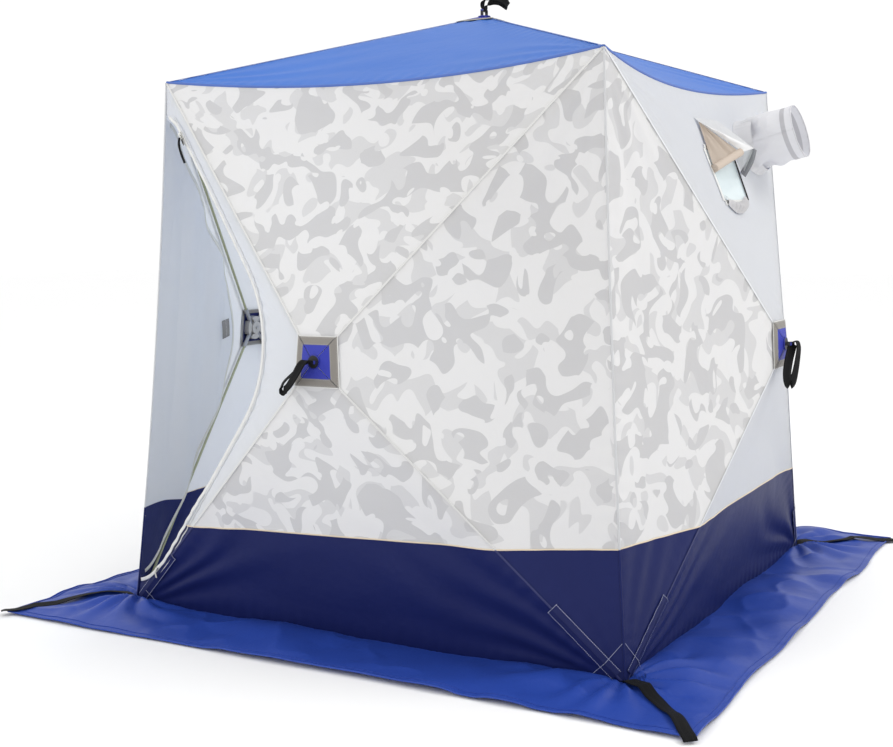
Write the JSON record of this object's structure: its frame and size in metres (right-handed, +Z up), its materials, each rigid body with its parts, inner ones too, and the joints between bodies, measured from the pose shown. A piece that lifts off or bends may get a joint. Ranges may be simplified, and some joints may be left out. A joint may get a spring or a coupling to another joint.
{
  "type": "ice fishing shelter",
  "caption": "Pop-up cube ice fishing shelter: fabric walls and roof pushed out by sprung hubs and rods, zip door, vent hood and sleeve, ground skirt with straps.",
  "frame": {"origin": "centre of the ground square, on the ground", "axes": "+Z up, front wall with the door faces -Y, vent wall faces +X"},
  "size_m": [2.4846, 2.4846, 2.044],
  "materials": {
    "skirt_fabric": "coated polyester, satin",
    "roof_fabric": "coated polyester, satin",
    "navy_fabric": "coated polyester, satin",
    "camo_fabric": "printed polyester, matt",
    "white_fabric": "thin polyester, slightly translucent",
    "beige_lining": "matt lining",
    "webbing": "woven polypropylene",
    "fibreglass": "semi-gloss olive",
    "hub_plastic": "moulded grey nylon",
    "zip_metal": "nickel plated",
    "clear_film": "clear vinyl"
  },
  "bodies": {
    "root": {"skirt": "skirt_fabric", "corner_straps": "webbing", "rod_pockets": "webbing", "eave_bands": "white_fabric", "upright_bands": "white_fabric"},
    "front_hub": {"front_hub": "hub_plastic"},
    "front_panel_lower": {"front_panel_lower": "camo_fabric"},
    "front_panel_right": {"front_panel_right": "camo_fabric"},
    "front_panel_upper": {"front_panel_upper": "camo_fabric"},
    "front_panel_left": {"front_panel_left": "white_fabric"},
    "front_rod_a": {"front_rod_a": "fibreglass"},
    "front_rod_b": {"front_rod_b": "fibreglass"},
    "front_rod_c": {"front_rod_c": "fibreglass"},
    "front_rod_d": {"front_rod_d": "fibreglass"},
    "front_pull_loop": {"front_pull_loop": "webbing"},
    "right_hub": {"right_hub": "hub_plastic"},
    "right_panel_lower": {"right_panel_lower": "navy_fabric"},
    "right_panel_right": {"right_panel_right": "white_fabric"},
    "right_panel_upper": {"right_panel_upper": "white_fabric", "vent_window": "clear_film", "vent_sleeve": "white_fabric"},
    "right_panel_left": {"right_panel_left": "camo_fabric"},
    "right_rod_a": {"right_rod_a": "fibreglass"},
    "right_rod_b": {"right_rod_b": "fibreglass"},
    "right_rod_c": {"right_rod_c": "fibreglass"},
    "right_rod_d": {"right_rod_d": "fibreglass"},
    "right_pull_loop": {"right_pull_loop": "webbing"},
    "back_hub": {"back_hub": "hub_plastic"},
    "back_panel_lower": {"back_panel_lower": "navy_fabric"},
    "back_panel_right": {"back_panel_right": "white_fabric"},
    "back_panel_upper": {"back_panel_upper": "white_fabric"},
    "back_panel_left": {"back_panel_left": "white_fabric"},
    "back_rod_a": {"back_rod_a": "fibreglass"},
    "back_rod_b": {"back_rod_b": "fibreglass"},
    "back_rod_c": {"back_rod_c": "fibreglass"},
    "back_rod_d": {"back_rod_d": "fibreglass"},
    "back_pull_loop": {"back_pull_loop": "webbing"},
    "left_hub": {"left_hub": "hub_plastic"},
    "left_panel_lower": {"left_panel_lower": "navy_fabric"},
    "left_panel_right": {"left_panel_right": "white_fabric"},
    "left_panel_upper": {"left_panel_upper": "white_fabric"},
    "left_panel_left": {"left_panel_left": "white_fabric"},
    "left_rod_a": {"left_rod_a": "fibreglass"},
    "left_rod_b": {"left_rod_b": "fibreglass"},
    "left_rod_c": {"left_rod_c": "fibreglass"},
    "left_rod_d": {"left_rod_d": "fibreglass"},
    "left_pull_loop": {"left_pull_loop": "webbing"},
    "roof_hub": {"roof_hub": "hub_plastic"},
    "roof_panel_front": {"roof_panel_front": "roof_fabric"},
    "roof_panel_right": {"roof_panel_right": "roof_fabric"},
    "roof_panel_back": {"roof_panel_back": "roof_fabric"},
    "roof_panel_left": {"roof_panel_left": "roof_fabric"},
    "roof_rod_a": {"roof_rod_a": "fibreglass"},
    "roof_rod_b": {"roof_rod_b": "fibreglass"},
    "roof_rod_c": {"roof_rod_c": "fibreglass"},
    "roof_rod_d": {"roof_rod_d": "fibreglass"},
    "roof_pull_loop": {"roof_pull_loop": "webbing"},
    "door_flap": {"door_flap": "white_fabric"},
    "door_zip_slider": {"door_zip_slider": "zip_metal"},
    "vent_hood": {"vent_hood": "beige_lining"}
  },
  "joints": [
    {"name": "front_hub_pop", "type": "slide", "parent": "root", "child": "front_hub", "axis": [0, -0.998, 0.0638], "range_m": [-0.49, 0]},
    {"name": "front_panel_lower_fold", "type": "hinge", "parent": "root", "child": "front_panel_lower", "pos_m": [-0.9, -0.9, 0], "axis": [1, 0, 0], "range_deg": [-31.82, 0.5]},
    {"name": "front_panel_right_fold", "type": "hinge", "parent": "root", "child": "front_panel_right", "pos_m": [0.9, -0.9, 0], "axis": [-0.0637, 0.0637, 0.9959], "range_deg": [-32.93, 0.5]},
    {"name": "front_panel_upper_fold", "type": "hinge", "parent": "root", "child": "front_panel_upper", "pos_m": [0.787, -0.787, 1.767], "axis": [-1, 0, 0], "range_deg": [-31.07, 0.5]},
    {"name": "front_panel_left_fold", "type": "hinge", "parent": "root", "child": "front_panel_left", "pos_m": [-0.787, -0.787, 1.767], "axis": [-0.0637, -0.0637, -0.9959], "range_deg": [-32.93, 0.5]},
    {"name": "front_rod_a_pin", "type": "hinge", "parent": "front_hub", "child": "front_rod_a", "pos_m": [-0.02439, -1.06429, 0.86256], "axis": [0.6967, -0.0458, -0.7159], "range_deg": [-23.25, 0.5]},
    {"name": "front_rod_b_pin", "type": "hinge", "parent": "front_hub", "child": "front_rod_b", "pos_m": [0.02439, -1.06429, 0.86256], "axis": [0.6967, 0.0458, 0.7159], "range_deg": [-23.25, 0.5]},
    {"name": "front_rod_c_pin", "type": "hinge", "parent": "front_hub", "child": "front_rod_c", "pos_m": [0.02243, -1.06114, 0.9117], "axis": [-0.7516, 0.0421, 0.6583], "range_deg": [-24.43, 0.5]},
    {"name": "front_rod_d_pin", "type": "hinge", "parent": "front_hub", "child": "front_rod_d", "pos_m": [-0.02243, -1.06114, 0.9117], "axis": [-0.7516, -0.0421, -0.6583], "range_deg": [-24.43, 0.5]},
    {"name": "front_pull_loop_swing", "type": "hinge", "parent": "front_hub", "child": "front_pull_loop", "pos_m": [0, -1.10768, 0.88907], "axis": [-1, 0, 0], "range_deg": [0, 160]},
    {"name": "right_hub_pop", "type": "slide", "parent": "root", "child": "right_hub", "axis": [0.998, 0, 0.0638], "range_m": [-0.49, 0]},
    {"name": "right_panel_lower_fold", "type": "hinge", "parent": "root", "child": "right_panel_lower", "pos_m": [0.9, -0.9, 0], "axis": [0, 1, 0], "range_deg": [-31.82, 0.5]},
    {"name": "right_panel_right_fold", "type": "hinge", "parent": "root", "child": "right_panel_right", "pos_m": [0.9, 0.9, 0], "axis": [-0.0637, -0.0637, 0.9959], "range_deg": [-32.93, 0.5]},
    {"name": "right_panel_upper_fold", "type": "hinge", "parent": "root", "child": "right_panel_upper", "pos_m": [0.787, 0.787, 1.767], "axis": [0, -1, 0], "range_deg": [-31.07, 0.5]},
    {"name": "right_panel_left_fold", "type": "hinge", "parent": "root", "child": "right_panel_left", "pos_m": [0.787, -0.787, 1.767], "axis": [0.0637, -0.0637, -0.9959], "range_deg": [-32.93, 0.5]},
    {"name": "right_rod_a_pin", "type": "hinge", "parent": "right_hub", "child": "right_rod_a", "pos_m": [1.06429, -0.02439, 0.86256], "axis": [0.0458, 0.6967, -0.7159], "range_deg": [-23.25, 0.5]},
    {"name": "right_rod_b_pin", "type": "hinge", "parent": "right_hub", "child": "right_rod_b", "pos_m": [1.06429, 0.02439, 0.86256], "axis": [-0.0458, 0.6967, 0.7159], "range_deg": [-23.25, 0.5]},
    {"name": "right_rod_c_pin", "type": "hinge", "parent": "right_hub", "child": "right_rod_c", "pos_m": [1.06114, 0.02243, 0.9117], "axis": [-0.0421, -0.7516, 0.6583], "range_deg": [-24.43, 0.5]},
    {"name": "right_rod_d_pin", "type": "hinge", "parent": "right_hub", "child": "right_rod_d", "pos_m": [1.06114, -0.02243, 0.9117], "axis": [0.0421, -0.7516, -0.6583], "range_deg": [-24.43, 0.5]},
    {"name": "right_pull_loop_swing", "type": "hinge", "parent": "right_hub", "child": "right_pull_loop", "pos_m": [1.10768, 0, 0.88907], "axis": [0, -1, 0], "range_deg": [0, 160]},
    {"name": "back_hub_pop", "type": "slide", "parent": "root", "child": "back_hub", "axis": [0, 0.998, 0.0638], "range_m": [-0.49, 0]},
    {"name": "back_panel_lower_fold", "type": "hinge", "parent": "root", "child": "back_panel_lower", "pos_m": [0.9, 0.9, 0], "axis": [-1, 0, 0], "range_deg": [-31.82, 0.5]},
    {"name": "back_panel_right_fold", "type": "hinge", "parent": "root", "child": "back_panel_right", "pos_m": [-0.9, 0.9, 0], "axis": [0.0637, -0.0637, 0.9959], "range_deg": [-32.93, 0.5]},
    {"name": "back_panel_upper_fold", "type": "hinge", "parent": "root", "child": "back_panel_upper", "pos_m": [-0.787, 0.787, 1.767], "axis": [1, 0, 0], "range_deg": [-31.07, 0.5]},
    {"name": "back_panel_left_fold", "type": "hinge", "parent": "root", "child": "back_panel_left", "pos_m": [0.787, 0.787, 1.767], "axis": [0.0637, 0.0637, -0.9959], "range_deg": [-32.93, 0.5]},
    {"name": "back_rod_a_pin", "type": "hinge", "parent": "back_hub", "child": "back_rod_a", "pos_m": [0.02439, 1.06429, 0.86256], "axis": [-0.6967, 0.0458, -0.7159], "range_deg": [-23.25, 0.5]},
    {"name": "back_rod_b_pin", "type": "hinge", "parent": "back_hub", "child": "back_rod_b", "pos_m": [-0.02439, 1.06429, 0.86256], "axis": [-0.6967, -0.0458, 0.7159], "range_deg": [-23.25, 0.5]},
    {"name": "back_rod_c_pin", "type": "hinge", "parent": "back_hub", "child": "back_rod_c", "pos_m": [-0.02243, 1.06114, 0.9117], "axis": [0.7516, -0.0421, 0.6583], "range_deg": [-24.43, 0.5]},
    {"name": "back_rod_d_pin", "type": "hinge", "parent": "back_hub", "child": "back_rod_d", "pos_m": [0.02243, 1.06114, 0.9117], "axis": [0.7516, 0.0421, -0.6583], "range_deg": [-24.43, 0.5]},
    {"name": "back_pull_loop_swing", "type": "hinge", "parent": "back_hub", "child": "back_pull_loop", "pos_m": [0, 1.10768, 0.88907], "axis": [1, 0, 0], "range_deg": [0, 160]},
    {"name": "left_hub_pop", "type": "slide", "parent": "root", "child": "left_hub", "axis": [-0.998, 0, 0.0638], "range_m": [-0.49, 0]},
    {"name": "left_panel_lower_fold", "type": "hinge", "parent": "root", "child": "left_panel_lower", "pos_m": [-0.9, 0.9, 0], "axis": [0, -1, 0], "range_deg": [-31.82, 0.5]},
    {"name": "left_panel_right_fold", "type": "hinge", "parent": "root", "child": "left_panel_right", "pos_m": [-0.9, -0.9, 0], "axis": [0.0637, 0.0637, 0.9959], "range_deg": [-32.93, 0.5]},
    {"name": "left_panel_upper_fold", "type": "hinge", "parent": "root", "child": "left_panel_upper", "pos_m": [-0.787, -0.787, 1.767], "axis": [0, 1, 0], "range_deg": [-31.07, 0.5]},
    {"name": "left_panel_left_fold", "type": "hinge", "parent": "root", "child": "left_panel_left", "pos_m": [-0.787, 0.787, 1.767], "axis": [-0.0637, 0.0637, -0.9959], "range_deg": [-32.93, 0.5]},
    {"name": "left_rod_a_pin", "type": "hinge", "parent": "left_hub", "child": "left_rod_a", "pos_m": [-1.06429, 0.02439, 0.86256], "axis": [-0.0458, -0.6967, -0.7159], "range_deg": [-23.25, 0.5]},
    {"name": "left_rod_b_pin", "type": "hinge", "parent": "left_hub", "child": "left_rod_b", "pos_m": [-1.06429, -0.02439, 0.86256], "axis": [0.0458, -0.6967, 0.7159], "range_deg": [-23.25, 0.5]},
    {"name": "left_rod_c_pin", "type": "hinge", "parent": "left_hub", "child": "left_rod_c", "pos_m": [-1.06114, -0.02243, 0.9117], "axis": [0.0421, 0.7516, 0.6583], "range_deg": [-24.43, 0.5]},
    {"name": "left_rod_d_pin", "type": "hinge", "parent": "left_hub", "child": "left_rod_d", "pos_m": [-1.06114, 0.02243, 0.9117], "axis": [-0.0421, 0.7516, -0.6583], "range_deg": [-24.43, 0.5]},
    {"name": "left_pull_loop_swing", "type": "hinge", "parent": "left_hub", "child": "left_pull_loop", "pos_m": [-1.10768, 0, 0.88907], "axis": [0, 1, 0], "range_deg": [0, 160]},
    {"name": "roof_hub_pop", "type": "slide", "parent": "root", "child": "roof_hub", "axis": [0, 0, 1], "range_m": [-0.494, 0]},
    {"name": "roof_panel_front_fold", "type": "hinge", "parent": "root", "child": "roof_panel_front", "pos_m": [-0.787, -0.787, 1.767], "axis": [1, 0, 0], "range_deg": [-35.35, 0.5]},
    {"name": "roof_panel_right_fold", "type": "hinge", "parent": "root", "child": "roof_panel_right", "pos_m": [0.787, -0.787, 1.767], "axis": [0, 1, 0], "range_deg": [-35.35, 0.5]},
    {"name": "roof_panel_back_fold", "type": "hinge", "parent": "root", "child": "roof_panel_back", "pos_m": [0.787, 0.787, 1.767], "axis": [-1, 0, 0], "range_deg": [-35.35, 0.5]},
    {"name": "roof_panel_left_fold", "type": "hinge", "parent": "root", "child": "roof_panel_left", "pos_m": [-0.787, 0.787, 1.767], "axis": [0, -1, 0], "range_deg": [-35.35, 0.5]},
    {"name": "roof_rod_a_pin", "type": "hinge", "parent": "roof_hub", "child": "roof_rod_a", "pos_m": [-0.02404, -0.02404, 1.988], "axis": [0.7071, -0.7071, 0], "range_deg": [-26.36, 0.5]},
    {"name": "roof_rod_b_pin", "type": "hinge", "parent": "roof_hub", "child": "roof_rod_b", "pos_m": [0.02404, -0.02404, 1.988], "axis": [0.7071, 0.7071, 0], "range_deg": [-26.36, 0.5]},
    {"name": "roof_rod_c_pin", "type": "hinge", "parent": "roof_hub", "child": "roof_rod_c", "pos_m": [0.02404, 0.02404, 1.988], "axis": [-0.7071, 0.7071, 0], "range_deg": [-26.36, 0.5]},
    {"name": "roof_rod_d_pin", "type": "hinge", "parent": "roof_hub", "child": "roof_rod_d", "pos_m": [-0.02404, 0.02404, 1.988], "axis": [-0.7071, -0.7071, 0], "range_deg": [-26.36, 0.5]},
    {"name": "roof_pull_loop_swing", "type": "hinge", "parent": "roof_hub", "child": "roof_pull_loop", "pos_m": [0, 0, 2.033], "axis": [0, -1, 0], "range_deg": [0, 160]},
    {"name": "door_flap_swing", "type": "hinge", "parent": "left_panel_right", "child": "door_flap", "pos_m": [-0.9, -0.9, 0], "axis": [-0.0637, -0.0637, -0.9959], "range_deg": [0, 114]},
    {"name": "door_zip_slider_travel", "type": "slide", "parent": "front_panel_left", "child": "door_zip_slider", "axis": [0.619, -0.2441, -0.7465], "range_m": [0, 0.5]},
    {"name": "vent_hood_tilt", "type": "hinge", "parent": "right_panel_upper", "child": "vent_hood", "pos_m": [0.85435, 0.057, 1.52961], "axis": [0, 1, 0], "range_deg": [0, 64]}
  ],
  "couplings": [
    {"joint": "front_panel_lower_fold", "follows": "front_hub_pop", "rad_per_m": 1.1155},
    {"joint": "front_panel_right_fold", "follows": "front_hub_pop", "rad_per_m": 1.1551},
    {"joint": "front_panel_upper_fold", "follows": "front_hub_pop", "rad_per_m": 1.0887},
    {"joint": "front_panel_left_fold", "follows": "front_hub_pop", "rad_per_m": 1.1551},
    {"joint": "front_rod_a_pin", "follows": "front_hub_pop", "rad_per_m": 0.81038},
    {"joint": "front_rod_b_pin", "follows": "front_hub_pop", "rad_per_m": 0.81038},
    {"joint": "front_rod_c_pin", "follows": "front_hub_pop", "rad_per_m": 0.85241},
    {"joint": "front_rod_d_pin", "follows": "front_hub_pop", "rad_per_m": 0.85241},
    {"joint": "right_panel_lower_fold", "follows": "right_hub_pop", "rad_per_m": 1.1155},
    {"joint": "right_panel_right_fold", "follows": "right_hub_pop", "rad_per_m": 1.1551},
    {"joint": "right_panel_upper_fold", "follows": "right_hub_pop", "rad_per_m": 1.0887},
    {"joint": "right_panel_left_fold", "follows": "right_hub_pop", "rad_per_m": 1.1551},
    {"joint": "right_rod_a_pin", "follows": "right_hub_pop", "rad_per_m": 0.81038},
    {"joint": "right_rod_b_pin", "follows": "right_hub_pop", "rad_per_m": 0.81038},
    {"joint": "right_rod_c_pin", "follows": "right_hub_pop", "rad_per_m": 0.85241},
    {"joint": "right_rod_d_pin", "follows": "right_hub_pop", "rad_per_m": 0.85241},
    {"joint": "back_panel_lower_fold", "follows": "back_hub_pop", "rad_per_m": 1.1155},
    {"joint": "back_panel_right_fold", "follows": "back_hub_pop", "rad_per_m": 1.1551},
    {"joint": "back_panel_upper_fold", "follows": "back_hub_pop", "rad_per_m": 1.0887},
    {"joint": "back_panel_left_fold", "follows": "back_hub_pop", "rad_per_m": 1.1551},
    {"joint": "back_rod_a_pin", "follows": "back_hub_pop", "rad_per_m": 0.81038},
    {"joint": "back_rod_b_pin", "follows": "back_hub_pop", "rad_per_m": 0.81038},
    {"joint": "back_rod_c_pin", "follows": "back_hub_pop", "rad_per_m": 0.85241},
    {"joint": "back_rod_d_pin", "follows": "back_hub_pop", "rad_per_m": 0.85241},
    {"joint": "left_panel_lower_fold", "follows": "left_hub_pop", "rad_per_m": 1.1155},
    {"joint": "left_panel_right_fold", "follows": "left_hub_pop", "rad_per_m": 1.1551},
    {"joint": "left_panel_upper_fold", "follows": "left_hub_pop", "rad_per_m": 1.0887},
    {"joint": "left_panel_left_fold", "follows": "left_hub_pop", "rad_per_m": 1.1551},
    {"joint": "left_rod_a_pin", "follows": "left_hub_pop", "rad_per_m": 0.81038},
    {"joint": "left_rod_b_pin", "follows": "left_hub_pop", "rad_per_m": 0.81038},
    {"joint": "left_rod_c_pin", "follows": "left_hub_pop", "rad_per_m": 0.85241},
    {"joint": "left_rod_d_pin", "follows": "left_hub_pop", "rad_per_m": 0.85241},
    {"joint": "roof_panel_front_fold", "follows": "roof_hub_pop", "rad_per_m": 1.2312},
    {"joint": "roof_panel_right_fold", "follows": "roof_hub_pop", "rad_per_m": 1.2312},
    {"joint": "roof_panel_back_fold", "follows": "roof_hub_pop", "rad_per_m": 1.2312},
    {"joint": "roof_panel_left_fold", "follows": "roof_hub_pop", "rad_per_m": 1.2312},
    {"joint": "roof_rod_a_pin", "follows": "roof_hub_pop", "rad_per_m": 0.91373},
    {"joint": "roof_rod_b_pin", "follows": "roof_hub_pop", "rad_per_m": 0.91373},
    {"joint": "roof_rod_c_pin", "follows": "roof_hub_pop", "rad_per_m": 0.91373},
    {"joint": "roof_rod_d_pin", "follows": "roof_hub_pop", "rad_per_m": 0.91373}
  ]
}
